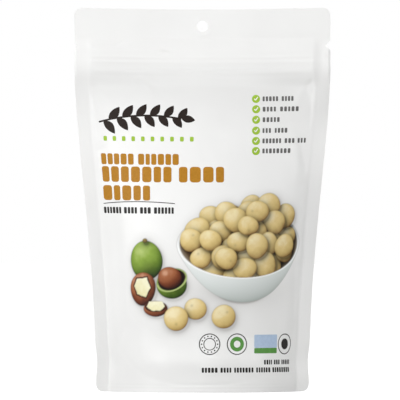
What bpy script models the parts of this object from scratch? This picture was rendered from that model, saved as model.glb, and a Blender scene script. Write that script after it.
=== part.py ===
# A filled stand-up pouch with a press-to-close zipper: two film panels, the folded
# gusset that stands open as its base, the two zipper strips, and the nuts inside.
# Metres, +Z up, front facing -Y, origin on the floor under the pouch's middle.
# A place on a flat panel is (s, t): s across from its centre line, t up from its foot.

from math import copysign, cos, hypot, pi, radians, sin, sqrt
from random import Random

import bmesh
import bpy
from mathutils import Vector
from mathutils.bvhtree import BVHTree

# The flat pouch
PANEL_WIDTH = 0.160
PANEL_HEIGHT = 0.240
FILM = 0.00015
SIDE_SEAL = 0.008
TOP_SEAL = 0.018
SKIRT = 0.005
GUSSET_DEPTH = 0.045
BOTTOM_SEAL_POWER = 3
BOTTOM_CORNER = 0.0045
TOP_CORNER = 0.005
HANG_HOLE_RADIUS = 0.0035
HANG_HOLE_DROP = 0.0105
NOTCH_HEIGHT = 0.2165
LEFT_NOTCH = 0.0015
RIGHT_NOTCH = 0.003

# The filled pouch
FULL_ANGLE = radians(62.5)
BULGE_TOP = 0.203
BULGE_POWER = 0.87
PANEL_SAG = 0.0012
BASE_HALF_LENGTH = 0.050
BASE_FLAT_SHARE = 0.55
KEEL_POWER = 1.3

# Gaps that layers which touch keep, measured from the mid-plane of the pouch
SEAL_GAP = 0.00015
GUSSET_SEAL_GAP = 0.00065
LEAF_GAP = 0.00015
ZIPPER_GAP = 0.00145
GUSSET_GAP_FADE = 0.005
ZIPPER_GAP_MARGIN = 0.0005
ZIPPER_GAP_FADE = 0.006

# The zipper
ZIPPER_HEIGHT = 0.207
FLANGE_HALF_HEIGHT = 0.006
ZIPPER_END = 0.0795
CRUSH_START = 0.068
CRUSHED = 0.45

# The nuts
KERNEL_COUNT = 54
KERNEL_RADII = (0.0094, 0.0104)
KERNEL_GAP = 0.0004
HEAP_STEP = 0.003
HEAP_REACH = 20
HEAP_TOP = 0.120
DROP_STEP = 0.001

HALF_WIDTH = PANEL_WIDTH / 2
HALF_INSIDE = HALF_WIDTH - SIDE_SEAL
COLUMNS = [0.0, 0.009, 0.018, 0.027, 0.036, 0.045, 0.054, 0.061, CRUSH_START, HALF_INSIDE, HALF_WIDTH]
COLUMNS = [-s for s in reversed(COLUMNS[1:])] + COLUMNS
CORNER_STEPS = (0.0, 0.15, 0.35, 0.62, 1.0)
LEAF_STEPS = (*CORNER_STEPS, 4 / 3, 5 / 3, 2.0)
BODY_ROWS = [0.015, 0.030, 0.045, 0.050, 0.065, 0.080, 0.095, 0.110, 0.125, 0.140, 0.153]
BODY_ROWS += [0.165, 0.176, 0.185, 0.192, 0.197, 0.2005, 0.2065]
BASE_ROWS = (-0.88, -0.75, -0.65, -0.55, -0.3, 0.0, 0.3, 0.55, 0.65, 0.75, 0.88)


def clear_scene():
    for old in list(bpy.data.objects):
        bpy.data.objects.remove(old, do_unlink=True)


def make_material(name, colour, roughness, transmission=0.0):
    material = bpy.data.materials.new(name)
    material.use_nodes = True
    shader = material.node_tree.nodes["Principled BSDF"]
    shader.inputs["Base Color"].default_value = (*colour, 1.0)
    shader.inputs["Roughness"].default_value = roughness
    shader.inputs["Metallic"].default_value = 0.0
    shader.inputs["Transmission Weight"].default_value = transmission
    return material


def add_piece(name, bm, material):
    mesh = bpy.data.meshes.new(name)
    bm.to_mesh(mesh)
    bm.free()
    mesh.materials.append(material)
    piece = bpy.data.objects.new(name, mesh)
    bpy.context.scene.collection.objects.link(piece)
    return piece


def smooth(value):
    value = min(max(value, 0.0), 1.0)
    return value * value * (3 - 2 * value)


# ---- the shape that the contents give the film


def half_angle(t):
    """The angle between the film and the pouch's mid-plane where it leaves the side seal."""
    return FULL_ANGLE * max(0.0, 1 - (max(t, 0.0) / BULGE_TOP) ** 2) ** BULGE_POWER


def arc(s, t):
    """A panel bulges as a circular arc between its side seals: x across, and depth from the mid-plane."""
    inside = min(abs(s), HALF_INSIDE)
    x = inside
    depth = 0.0
    angle = half_angle(t)
    if angle > 0.001:
        radius = HALF_INSIDE / angle
        x = radius * sin(inside / radius)
        depth = radius * (cos(inside / radius) - cos(angle))
    return copysign(x + abs(s) - inside, s), depth


def cut_half_width(s, t):
    """Half the cut film's width, with its rounded corners and its tear notch, on the side of s."""
    half = HALF_WIDTH
    for corner, distance in ((BOTTOM_CORNER, t), (TOP_CORNER, PANEL_HEIGHT - t)):
        if distance < corner:
            half -= corner - sqrt(corner**2 - (corner - distance) ** 2)
    notch = RIGHT_NOTCH if s > 0 else LEFT_NOTCH
    return half - max(0.0, notch - abs(t - NOTCH_HEIGHT))


def film_place(s, t, gap):
    """A place on the front film, gap in front of the mid-plane where the film is sealed flat."""
    if abs(s) > HALF_INSIDE:
        share = (abs(s) - HALF_INSIDE) / SIDE_SEAL
        s = copysign(HALF_INSIDE + share * (cut_half_width(s, t) - HALF_INSIDE), s)
    x, depth = arc(s, t)
    sag = PANEL_SAG * (1 - (s / HALF_WIDTH) ** 2) * smooth(t / BULGE_TOP)
    return Vector((x, -depth - gap, t - sag))


def panel_gap(s, t):
    """Half the gap between the panels: room for the gusset's leaves below, and for the zipper above."""
    low = 1 - smooth((t - GUSSET_DEPTH) / GUSSET_GAP_FADE)
    zipper_edge = abs(t - ZIPPER_HEIGHT) - FLANGE_HALF_HEIGHT - ZIPPER_GAP_MARGIN
    near_zipper = 1 - smooth(zipper_edge / ZIPPER_GAP_FADE)
    gap = SEAL_GAP + (GUSSET_SEAL_GAP - SEAL_GAP) * max(low, near_zipper)
    between_seals = 1 - smooth((abs(s) - CRUSH_START) / (HALF_INSIDE - CRUSH_START))
    return gap + (ZIPPER_GAP - gap) * near_zipper * between_seals


def grid_of(columns, rows, place):
    """A sheet of len(columns) by len(rows) points, each moved to place(column, row)."""
    bm = bmesh.new()
    across = len(columns) - 1
    up = len(rows) - 1
    bmesh.ops.create_grid(bm, x_segments=across, y_segments=up, size=1)
    for vertex in bm.verts:
        i = round((vertex.co.x + 1) / 2 * across)
        j = round((vertex.co.y + 1) / 2 * up)
        vertex.co = place(columns[i], rows[j])
    return bm


def panel_rows():
    foot = [BOTTOM_CORNER * step for step in CORNER_STEPS]
    notch = [NOTCH_HEIGHT - RIGHT_NOTCH, NOTCH_HEIGHT - LEFT_NOTCH, NOTCH_HEIGHT]
    notch += [NOTCH_HEIGHT + LEFT_NOTCH, NOTCH_HEIGHT + RIGHT_NOTCH, PANEL_HEIGHT - TOP_SEAL]
    head = [PANEL_HEIGHT - TOP_CORNER * step for step in reversed(CORNER_STEPS)]
    return foot + BODY_ROWS + notch + head


def build_panel(name, facing, material, hole):
    """facing is -1 for the front panel and 1 for the back one."""

    def place(s, t):
        x, y, z = film_place(s, t, panel_gap(s, t))
        return Vector((x, -facing * y, z))

    bm = grid_of(COLUMNS, panel_rows(), place)
    if facing > 0:
        bmesh.ops.reverse_faces(bm, faces=bm.faces)
    panel = add_piece(name, bm, material)
    panel.data.shade_smooth()
    thickness = panel.modifiers.new("film", "SOLIDIFY")
    thickness.thickness = FILM
    thickness.offset = 1
    thickness.use_even_offset = True
    punch = panel.modifiers.new("hang hole", "BOOLEAN")
    punch.object = hole
    return panel


def build_hole_punch():
    bm = bmesh.new()
    bmesh.ops.create_cone(
        bm, cap_ends=True, segments=24, radius1=HANG_HOLE_RADIUS, radius2=HANG_HOLE_RADIUS, depth=0.02
    )
    mesh = bpy.data.meshes.new("hang_hole_punch")
    bm.to_mesh(mesh)
    bm.free()
    punch = bpy.data.objects.new("hang_hole_punch", mesh)
    bpy.context.scene.collection.objects.link(punch)
    punch.rotation_euler = (pi / 2, 0, 0)
    punch.location = (0, 0, PANEL_HEIGHT - PANEL_SAG - HANG_HOLE_DROP)
    punch.hide_render = True
    punch.display_type = "WIRE"
    return punch


# ---- the bottom gusset


def seal_height(s):
    """The curved top of the bottom seal: low in the middle, at the gusset's fold by the side seals."""
    share = min(abs(s) / HALF_INSIDE, 1.0)
    return SKIRT + (GUSSET_DEPTH - SKIRT) * share**BOTTOM_SEAL_POWER


def keel_height(s):
    """The height of the gusset's fold line: flat on the floor in the middle, rising to the side seals."""
    share = (abs(s) - BASE_HALF_LENGTH) / (HALF_INSIDE - BASE_HALF_LENGTH)
    return GUSSET_DEPTH * min(max(share, 0.0), 1.0) ** KEEL_POWER


def flat_share(s):
    """How much of the gusset's width lies level: most of it in the middle, none of it at the ends."""
    return BASE_FLAT_SHARE * (1 - smooth(abs(s) / HALF_INSIDE))


def leaf_place(s, side, step, skin):
    """A leaf is sealed to its panel from the foot, step 0, to the top of the bottom seal, the last step."""
    seal_t = seal_height(s)
    t = BOTTOM_CORNER * min(step, 1) + max(step - 1, 0) * (seal_t - BOTTOM_CORNER)
    x, y, z = film_place(s, t, LEAF_GAP + skin * FILM)
    return Vector((x, -side * y, z + (skin * FILM if step == LEAF_STEPS[-1] else 0)))


def base_underside(s, w):
    """Between its seals the gusset hangs as a shallow boat, w running from -1 at the front to 1."""
    seal = film_place(s, seal_height(s), LEAF_GAP)
    keel = keel_height(s)
    lift = max(0.0, abs(w) - flat_share(s)) / (1 - flat_share(s))
    return Vector((seal.x, -w * seal.y, keel + (seal.z - keel) * lift**2))


def base_place(s, w, skin):
    if abs(s) >= HALF_INSIDE:
        x = film_place(s, GUSSET_DEPTH, 0).x
        return Vector((x, 0, GUSSET_DEPTH + skin * FILM))
    step = 0.0001
    along = base_underside(s + step, w) - base_underside(s - step, w)
    across = base_underside(s, w + step) - base_underside(s, w - step)
    return base_underside(s, w) + skin * FILM * along.cross(across).normalized()


def gusset_skin(rows, skin):
    """One side of the gusset's film, 0 for the underside; its fold in the side seals is a single line."""

    def place(s, row):
        return leaf_place(s, *row, skin) if len(row) == 2 else base_place(s, *row, skin)

    bm = grid_of(COLUMNS, rows, place)
    bmesh.ops.remove_doubles(bm, verts=bm.verts, dist=1e-6)
    return bm


def build_gusset(material):
    rows = [(-1, step) for step in LEAF_STEPS]
    rows += [(w,) for w in BASE_ROWS]
    rows += [(1, step) for step in reversed(LEAF_STEPS)]
    lower = gusset_skin(rows, 0)
    upper = gusset_skin(rows, 1)
    bmesh.ops.reverse_faces(lower, faces=lower.faces)
    joined = bpy.data.meshes.new("gusset_upper_skin")
    upper.to_mesh(joined)
    upper.free()
    lower.from_mesh(joined)
    bpy.data.meshes.remove(joined)
    rims = [edge for edge in lower.edges if edge.is_boundary]
    bmesh.ops.bridge_loops(lower, edges=rims)
    bmesh.ops.recalc_face_normals(lower, faces=lower.faces)
    return add_piece("bottom_gusset", lower, material)


# ---- the zipper


def build_zipper_strip(name, profile, material):
    """The profile holds (y, z) points in millimetres; the side seals crush the strip's ends."""
    stations = [(ZIPPER_END, CRUSHED), (HALF_INSIDE, CRUSHED), (CRUSH_START, 1.0), (0.051, 1.0), (0.034, 1.0)]
    stations += [(0.017, 1.0)]
    stations = [(-x, squeeze) for x, squeeze in stations] + [(0.0, 1.0)] + stations[::-1]
    bm = bmesh.new()
    rings = []
    for x, squeeze in stations:
        level = film_place(x, ZIPPER_HEIGHT, 0).z
        ring = [bm.verts.new((x, y * squeeze / 1000, level + z / 1000)) for y, z in profile]
        rings.append(ring)
    for ring, following in zip(rings, rings[1:]):
        for i, vertex in enumerate(ring):
            j = (i + 1) % len(ring)
            bm.faces.new((vertex, ring[j], following[j], following[i]))
    bm.faces.new(rings[0][::-1])
    bm.faces.new(rings[-1])
    bmesh.ops.recalc_face_normals(bm, faces=bm.faces)
    return add_piece(name, bm, material)


def mirrored(half):
    """A closed profile from its upper half, listed from the tip back to the flange."""
    return [(y, -z) for y, z in reversed(half)] + half


def build_zipper(material):
    flange = FLANGE_HALF_HEIGHT * 1000
    rib = [(0.5, 0.1), (-0.05, 0.85), (-0.05, 0.25), (-0.95, 0.25), (-0.95, flange), (-1.15, flange)]
    groove = [(0.8, 1.15), (-0.35, 1.15), (-0.35, 0.55), (-0.65, 0.55), (-0.65, 1.5), (0.8, 1.5)]
    groove += [(0.8, flange), (1.0, flange)]
    build_zipper_strip("zipper_rib_strip", mirrored(rib), material)
    build_zipper_strip("zipper_groove_strip", mirrored(groove), material)


# ---- the nuts


def build_kernel_mesh(name, flatten, lean, material):
    """A shelled macadamia of radius 1: round, with a slight tip and a flattened foot."""
    bm = bmesh.new()
    bmesh.ops.create_icosphere(bm, subdivisions=2, radius=1)
    for vertex in bm.verts:
        up = vertex.co.z
        reach = 0.955 + 0.045 * max(0.0, up) ** 8 - flatten * max(0.0, -up) ** 3
        vertex.co = vertex.co * (reach - lean * vertex.co.x**2)
    mesh = bpy.data.meshes.new(name)
    bm.to_mesh(mesh)
    bm.free()
    mesh.materials.append(material)
    mesh.shade_smooth()
    return mesh


def clear_of_panels(x, y, z, reach):
    angle = half_angle(z)
    radius = HALF_INSIDE / angle
    centre = radius * cos(angle)
    return radius - hypot(x, abs(y) + centre) > reach


def heap_places(gusset, rng):
    """Drops each nut in turn to the lowest place that is clear of the film and of the nuts below."""
    base = BVHTree.FromPolygons(
        [vertex.co for vertex in gusset.data.vertices], [list(face.vertices) for face in gusset.data.polygons]
    )
    largest = KERNEL_RADII[1] + KERNEL_GAP
    floor = {}
    steps = range(-HEAP_REACH, HEAP_REACH + 1)
    for x in [HEAP_STEP * i for i in steps]:
        for y in [HEAP_STEP * i for i in steps]:
            z = FILM + largest
            while z < HEAP_TOP and base.find_nearest((x, y, z))[3] < largest:
                z += DROP_STEP
            if clear_of_panels(x, y, z, largest):
                floor[x, y] = z
    placed = []
    for _ in range(KERNEL_COUNT):
        radius = rng.uniform(*KERNEL_RADII)
        best = None
        for (x, y), z in floor.items():
            for other, other_radius in placed:
                reach = radius + other_radius + KERNEL_GAP
                level = hypot(x - other.x, y - other.y)
                if level < reach:
                    z = max(z, other.z + sqrt(reach**2 - level**2))
            if (best is None or z < best.z) and clear_of_panels(x, y, z, largest):
                best = Vector((x, y, z))
        placed.append((best, radius))
    return placed


def build_kernels(gusset, material):
    rng = Random(7)
    shapes = [
        build_kernel_mesh("kernel_round", 0.05, 0.00, material),
        build_kernel_mesh("kernel_flat", 0.10, 0.03, material),
        build_kernel_mesh("kernel_oval", 0.07, 0.06, material),
    ]
    for number, (place, radius) in enumerate(heap_places(gusset, rng), start=1):
        kernel = bpy.data.objects.new(f"macadamia_kernel_{number:02d}", shapes[number % len(shapes)])
        bpy.context.scene.collection.objects.link(kernel)
        kernel.location = place
        kernel.rotation_euler = [rng.uniform(0, 2 * pi) for _ in range(3)]
        kernel.scale = (radius, radius, radius)


clear_scene()
white_film = make_material("white laminated film", (0.87, 0.87, 0.86), 0.38)
gusset_film = make_material("white gusset film", (0.86, 0.86, 0.85), 0.40)
zipper_resin = make_material("clear zipper polyethylene", (0.90, 0.91, 0.91), 0.30, 0.4)
kernel_flesh = make_material("macadamia kernel", (0.80, 0.66, 0.42), 0.50)

hang_hole_punch = build_hole_punch()
build_panel("front_panel", -1, white_film, hang_hole_punch)
build_panel("back_panel", 1, white_film, hang_hole_punch)
bottom_gusset = build_gusset(gusset_film)
build_zipper(zipper_resin)
build_kernels(bottom_gusset, kernel_flesh)
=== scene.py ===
# The looks of a filled stand-up pouch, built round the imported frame.
# A place on a flat film panel is (s, t) in millimetres: s across from its centre line, t up from its foot.
import math
import random

import bmesh
import bpy
import numpy as np
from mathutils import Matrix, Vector, noise


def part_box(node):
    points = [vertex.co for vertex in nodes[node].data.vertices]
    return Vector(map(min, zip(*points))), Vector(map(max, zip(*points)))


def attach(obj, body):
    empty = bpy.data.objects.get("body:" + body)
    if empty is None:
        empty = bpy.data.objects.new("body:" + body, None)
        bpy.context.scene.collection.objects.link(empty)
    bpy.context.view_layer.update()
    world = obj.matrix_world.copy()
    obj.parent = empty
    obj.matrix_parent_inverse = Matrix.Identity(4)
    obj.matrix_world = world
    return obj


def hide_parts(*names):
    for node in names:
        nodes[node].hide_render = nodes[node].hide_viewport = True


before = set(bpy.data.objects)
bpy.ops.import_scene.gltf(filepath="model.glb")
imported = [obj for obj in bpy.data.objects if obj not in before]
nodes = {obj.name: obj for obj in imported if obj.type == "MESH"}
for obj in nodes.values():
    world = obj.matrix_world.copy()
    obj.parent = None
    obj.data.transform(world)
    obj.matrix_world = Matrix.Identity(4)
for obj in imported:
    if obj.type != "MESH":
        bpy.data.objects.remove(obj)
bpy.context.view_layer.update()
kernelNames = [name for name in nodes if name.startswith("macadamia_kernel")]
mm = 0.001
print("frame loaded")


# materials

def hexColour(code, alpha=1.0):
    values = [int(code[i:i + 2], 16) / 255 for i in (1, 3, 5)]
    linear = [((v + 0.055) / 1.055) ** 2.4 if v > 0.04045 else v / 12.92 for v in values]
    return (*linear, alpha)


def addNode(tree, kind, settings=None, links=None):
    # lower-case settings are the node's own options, the others are its sockets
    node = tree.nodes.new(kind)
    for key, value in (settings or {}).items():
        if isinstance(key, str) and key[0].islower():
            setattr(node, key, value)
        else:
            node.inputs[key].default_value = value
    for key, source in (links or {}).items():
        tree.links.new(source, node.inputs[key])
    return node


def newMaterial(name, settings):
    material = bpy.data.materials.new(name)
    material.use_nodes = True
    tree = material.node_tree
    shader = tree.nodes["Principled BSDF"]
    for key, value in settings.items():
        shader.inputs[key].default_value = value
    coords = addNode(tree, "ShaderNodeTexCoord").outputs["Object"]
    return material, tree, shader, coords


def ramp(tree, source, stops):
    # stops are pairs of a place and a colour
    stops = list(stops)
    node = addNode(tree, "ShaderNodeValToRGB", links={"Fac": source})
    elements = node.color_ramp.elements
    while len(elements) < len(stops):
        elements.new(0.5)
    for element, (place, code) in zip(elements, stops):
        element.position = place
        element.color = hexColour(code)
    return node.outputs["Color"]


def objectNoise(tree, coords, perMetre, detail=2.0, roughness=0.5):
    return addNode(
        tree, "ShaderNodeTexNoise",
        {"Scale": perMetre, "Detail": detail, "Roughness": roughness},
        {"Vector": coords},
    ).outputs["Fac"]


def addBump(tree, shader, source, metres):
    # laid over any bump that the shader has already
    links = {"Normal": link.from_socket for link in shader.inputs["Normal"].links}
    bump = addNode(tree, "ShaderNodeBump", {"Distance": metres}, {"Height": source, **links})
    tree.links.new(bump.outputs["Normal"], shader.inputs["Normal"])


# Matt-varnished PET over white polyethylene: a soft broad sheen, and the faint orange peel of the laminate
filmFinish = {
    "white": "#F2F2F1", "cloud": "#EEEEED", "roughness": 0.42, "ior": 1.5,
    "peelPerMetre": 1400.0, "peelHeight": 0.00001, "cloudPerMetre": 18.0, "cloudStops": (0.35, 0.65),
    # painted shade: the grey tone and the band of heights below darken the film's white just under the zipper
    "slackPerMetre": 160.0, "slackHeight": 0.00005, "headTone": "#F5F5F5", "bareTone": "#FFFFFF",
    "headSpace": ((0.160, "bareTone"), (0.188, "headTone"), (0.198, "headTone"), (0.206, "bareTone")),
}


def filmColour(tree, coords):
    cloud = objectNoise(tree, coords, filmFinish["cloudPerMetre"])
    dull, bright = filmFinish["cloudStops"]
    white = ramp(tree, cloud, ((dull, filmFinish["cloud"]), (bright, filmFinish["white"])))
    # painted shade: the film is coloured a little greyer in a band of heights just below the zipper, for the
    # shade of the recess there
    height = addNode(tree, "ShaderNodeSeparateXYZ", {}, {0: coords}).outputs["Z"]
    head = ramp(tree, height, [(place, filmFinish[tone]) for place, tone in filmFinish["headSpace"]])
    mix = addNode(
        tree, "ShaderNodeMix", {"data_type": "RGBA", "blend_type": "MULTIPLY", 0: 1.0}, {6: white, 7: head}
    )
    return mix.outputs[2]


def filmBump(tree, coords, shader):
    for name in ("slack", "peel"):
        rough = objectNoise(tree, coords, filmFinish[name + "PerMetre"], 1.0)
        addBump(tree, shader, rough, filmFinish[name + "Height"])


def makeFilmMaterial(name):
    settings = {"Roughness": filmFinish["roughness"], "IOR": filmFinish["ior"]}
    material, tree, shader, coords = newMaterial(name, settings)
    tree.links.new(filmColour(tree, coords), shader.inputs["Base Color"])
    filmBump(tree, coords, shader)
    return material


# Flexographic ink: it dries dull, with hardly any sheen, and a little uneven where the plate laid less
inkFinish = {"Roughness": 0.45, "IOR": 1.5, "Specular IOR Level": 0.14}
inkPatch = {"perMetre": 700.0, "detail": 3.0, "stops": (0.3, 0.7)}


def makeInkMaterial(name, code, deep):
    material, tree, shader, coords = newMaterial(name, inkFinish)
    patch = objectNoise(tree, coords, inkPatch["perMetre"], inkPatch["detail"])
    colour = ramp(tree, patch, zip(inkPatch["stops"], (deep, code)))
    tree.links.new(colour, shader.inputs["Base Color"])
    filmBump(tree, coords, shader)
    return material


def makePictureMaterial():
    # four-colour picture ink, its tone held point by point in the piece's own "ink" attribute
    material, tree, shader, coords = newMaterial("four-colour picture ink", inkFinish)
    ink = addNode(tree, "ShaderNodeAttribute", {"attribute_name": "ink"})
    mix = addNode(
        tree, "ShaderNodeMix", {"data_type": "RGBA"},
        {0: ink.outputs["Alpha"], 6: filmColour(tree, coords), 7: ink.outputs["Color"]},
    )
    tree.links.new(mix.outputs[2], shader.inputs["Base Color"])
    filmBump(tree, coords, shader)
    return material


# Clear low-density polyethylene profile: slightly milky, with drawn lines along its length
zipperFinish = {
    "Base Color": hexColour("#EEF1F2"), "Roughness": 0.25, "IOR": 1.51, "Transmission Weight": 0.45,
}
drawnLines = {"perMetre": (40.0, 3000.0, 3000.0), "height": 0.00003}


def makeZipperMaterial():
    material, tree, shader, coords = newMaterial("extruded clear polyethylene", zipperFinish)
    drawn = addNode(tree, "ShaderNodeMapping", {"Scale": drawnLines["perMetre"]}, {"Vector": coords})
    lines = objectNoise(tree, drawn.outputs["Vector"], 1.0)
    addBump(tree, shader, lines, drawnLines["height"])
    return material


# Shelled macadamia flesh: ivory, browner in blotches a few millimetres wide, with a faint oily sheen
kernelFinish = {"Roughness": 0.42, "IOR": 1.46, "Subsurface Weight": 0.15, "Subsurface Scale": 0.002}
kernelPatch = {
    "blotchPerMetre": 180.0, "blotchDetail": 4.0, "grainPerMetre": 1500.0, "grainDetail": 3.0,
    "grainHeight": 0.00006, "stops": ((0.3, "#C9A76A"), (0.5, "#E3CB93"), (0.75, "#F1E2BB")),
}


def makeKernelMaterial():
    material, tree, shader, coords = newMaterial("raw macadamia flesh", kernelFinish)
    blotch = objectNoise(tree, coords, kernelPatch["blotchPerMetre"], kernelPatch["blotchDetail"])
    grain = objectNoise(tree, coords, kernelPatch["grainPerMetre"], kernelPatch["grainDetail"])
    tree.links.new(ramp(tree, blotch, kernelPatch["stops"]), shader.inputs["Base Color"])
    addBump(tree, shader, grain, kernelPatch["grainHeight"])
    return material


def addObject(name, data):
    item = bpy.data.objects.new(name, data)
    bpy.context.scene.collection.objects.link(item)
    return item


def addMesh(name, bm, material=None):
    mesh = bpy.data.meshes.new(name)
    bm.to_mesh(mesh)
    bm.free()
    if material:
        mesh.materials.append(material)
    return addObject(name, mesh)


def addPiece(name, bm, material):
    piece = addMesh(name, bm, material)
    piece.data.shade_smooth()
    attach(piece, "root")
    return piece


def thicken(piece, thickness, punch=None, even=True):
    # gives a sheet its thickness in millimetres, inwards, and keeps its cut edges crisp
    solid = piece.modifiers.new("thickness", "SOLIDIFY")
    solid.thickness = thickness * mm
    solid.offset = -1
    solid.use_even_offset = even
    if punch:
        cut = piece.modifiers.new("punched hole", "BOOLEAN")
        cut.object = punch
    bpy.context.view_layer.update()
    evaluated = piece.evaluated_get(bpy.context.evaluated_depsgraph_get())
    mesh = bpy.data.meshes.new_from_object(evaluated)
    piece.modifiers.clear()
    piece.data = mesh
    mesh.set_sharp_from_angle(angle=math.radians(50))


# the film's shape

film = {
    "halfWidth": 80.0, "height": 240.0, "halfInside": 72.0, "thick": 0.15,
    "bottomCorner": 4.5, "topCorner": 5.0,
    "notchHeight": 216.5, "leftNotch": 1.5, "rightNotch": 3.0,
    "holeHeight": 228.3, "holeRadius": 3.5,
    "fullAngle": math.radians(62.5), "bulgeTop": 203.0, "bulgePower": 0.87, "sag": 1.2,
    "sealGap": 0.04, "gussetSealGap": 0.19, "gussetDepth": 45.0, "skirt": 5.0,
    "topSealFoot": 222.0, "slackGap": 0.35, "slackFoot": 190.0, "slackRise": 20.0,
    "gapEdge": 68.5, "gapFade": 6.0,
}
zipper = {
    "height": 207.0, "halfFlange": 6.0, "gap": 1.25, "crushedGap": 0.56, "end": 79.5,
    "margin": 0.3, "reachBelow": 11.0, "reachAbove": 7.5,
    "ribs": (206.6, 209.8), "ribHeight": 0.13, "ribWidth": 1.0, "ribAtSeal": 0.35,
    "recessHeight": 191.0, "recessDepth": 2.4, "recessReach": 9.5,
    "recessHalf": 70.0, "recessTop": 202.0, "recessFade": 4.0,
}
surface = {
    "swell": 0.9, "swellReach": (0.022, 0.014), "dent": 0.22, "dentReach": (0.07, 0.045), "dentSeed": 4,
    "edge": 68.0, "edgeFade": 4.0, "top": 200.0, "topFade": 12.0,
    "lip": 0.12, "lipPlace": 1.4, "lipReach": 0.9,
    "sealBar": 0.12, "sealBarReach": 0.9, "sealLines": (2.4, 4.4), "sealLine": 0.07, "sealLineReach": 0.45,
    "topSeal": 0.10, "topSealReach": 0.8,
}
sway = {
    "headerFoot": 214.0, "headerFade": 12.0, "header": 1.3, "headerReach": (0.018, 0.015),
    "finTop": 200.0, "finFade": 30.0, "finShare": 0.4, "finLow": 150.0, "finLowFade": 70.0,
    "rightLean": 0.62, "leftLean": 0.06, "wave": 0.13, "waveReach": (0.01, 0.025),
}
foot = {"pinchHeight": 19.0, "pinchReach": 7.0, "pinchAngle": math.radians(2.2)}


def smoothStep(value):
    value = min(max(value, 0.0), 1.0)
    return value * value * (3 - 2 * value)


def bell(distance, reach):
    return math.exp(-(distance / reach) ** 2)


def halfAngle(t):
    level = max(0.0, 1 - (max(t, 0.0) / film["bulgeTop"]) ** 2) ** film["bulgePower"]
    return film["fullAngle"] * level + foot["pinchAngle"] * bell(t - foot["pinchHeight"], foot["pinchReach"])


def cutHalfWidth(s, t):
    half = film["halfWidth"]
    for corner, distance in ((film["bottomCorner"], t), (film["topCorner"], film["height"] - t)):
        if distance < corner:
            half -= corner - math.sqrt(corner**2 - (corner - distance) ** 2)
    notch = film["rightNotch"] if s > 0 else film["leftNotch"]
    return half - max(0.0, notch - abs(t - film["notchHeight"]))


def sealHeight(s):
    # the curved top of the bottom seal, where the gusset leaves the panel
    share = min(abs(s) / film["halfInside"], 1.0)
    return film["skirt"] + (film["gussetDepth"] - film["skirt"]) * share**3


def panelGap(s, t):
    # from the pouch's mid-plane to the inside of the film, where nothing bulges it
    low = 1 - smoothStep((t - film["gussetDepth"]) / 4)
    edge = abs(t - zipper["height"]) - zipper["halfFlange"] - zipper["margin"]
    nearZipper = 1 - smoothStep(edge / zipper["reachBelow" if t < zipper["height"] else "reachAbove"])
    between = 1 - smoothStep((abs(s) - film["gapEdge"]) / film["gapFade"])
    gap = film["sealGap"] + (film["gussetSealGap"] - film["sealGap"]) * low
    gap += (zipper["crushedGap"] - gap) * nearZipper * (abs(s) <= zipper["end"])
    gap += (zipper["gap"] - gap) * nearZipper * between
    if t < film["topSealFoot"]:  # unsealed film never lies quite flat between the zipper and the top seal
        slack = smoothStep((t - film["slackFoot"]) / film["slackRise"])
        gap += film["slackGap"] * between * (smoothStep((film["topSealFoot"] - t) / 2) * slack)
    return gap


def ripple(s, t, reach, seed):
    return noise.noise(Vector((s * reach[0], t * reach[1], seed)))


def cellShares(a, b):
    # a lattice cell's corners, each with its share of the place (a, b) in the cell
    return (0, 0, (1 - a) * (1 - b)), (1, 0, a * (1 - b)), (0, 1, (1 - a) * b), (1, 1, a * b)


def creaseLift(s, t, creases):
    # each crease is a soft ridge, or a valley if its height is negative, that fades at both ends
    lift = 0.0
    for (s0, t0), (s1, t1), reach, height in creases:
        along = Vector((s1 - s0, t1 - t0))
        length = along.length
        place = Vector((s - s0, t - t0))
        share = place.dot(along) / length**2
        if -0.5 < share < 1.5:
            aside = abs(place.x * along.y - place.y * along.x) / length
            if aside < 3 * reach:
                ends = smoothStep((share + 0.25) / 0.5) * smoothStep((1.25 - share) / 0.5)
                lift += height * ends * bell(aside, reach)
    return lift


pucker = {
    "edge": 71.5, "height": (50, 196), "length": (5, 14), "rise": (-5, 3),
    "reach": (1.2, 2.4), "lift": (-0.22, 0.22),
}


def sealPuckers(rng, count):
    # short creases that run in from the side seals
    puckers = []
    for _ in range(count):
        side = rng.choice((-1, 1))
        t = rng.uniform(*pucker["height"])
        length = rng.uniform(*pucker["length"])
        start = (side * pucker["edge"], t)
        end = (side * (pucker["edge"] - length), t + rng.uniform(*pucker["rise"]))
        puckers.append((start, end, rng.uniform(*pucker["reach"]), rng.uniform(*pucker["lift"])))
    return puckers


# each crease: where it starts and ends, how far it reaches to each side, and its lift
frontCreases = [
    ((-54, 217), (-47, 221), 1.3, -0.50), ((-47, 221.5), (-35, 222.3), 1.2, -0.45),
    ((-27, 213.6), (-21, 212.8), 1.2, -0.40), ((17, 222), (21, 222), 1.1, -0.60),
    ((0, 219), (0, 211), 1.5, -0.10), ((-40, 197), (-30, 187), 1.8, 0.55),
    ((12, 172), (20, 170), 2.6, -0.22), ((6, 162), (14, 160), 2.4, -0.2),
    ((0, 149), (6, 147), 2.2, -0.15), ((-62, 165), (-58, 40), 5.0, -0.55),
    ((-52, 150), (-50, 60), 5.0, 0.35), ((62, 163), (69, 138), 2.6, -0.5),
    ((57, 166), (63, 136), 3.2, 0.3), ((66, 120), (67, 30), 3.5, -0.45),
    ((52, 44), (64, 27), 4.0, -0.3), ((-52, 44), (-64, 27), 4.0, -0.3),
    ((-66, 192), (-58, 182), 2.0, 0.25), ((67, 197), (59, 180), 2.4, 0.35),
]
backCreases = [
    ((-48, 200), (-30, 184), 2.4, 0.4), ((30, 196), (44, 178), 2.4, 0.35),
    ((-60, 160), (-57, 50), 5.0, -0.5), ((61, 150), (58, 45), 4.5, -0.5),
    ((-8, 178), (10, 171), 2.6, -0.25), ((20, 221), (34, 217), 1.6, -0.3),
    ((52, 44), (64, 27), 4.0, -0.3), ((-52, 44), (-64, 27), 4.0, -0.3),
]
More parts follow.
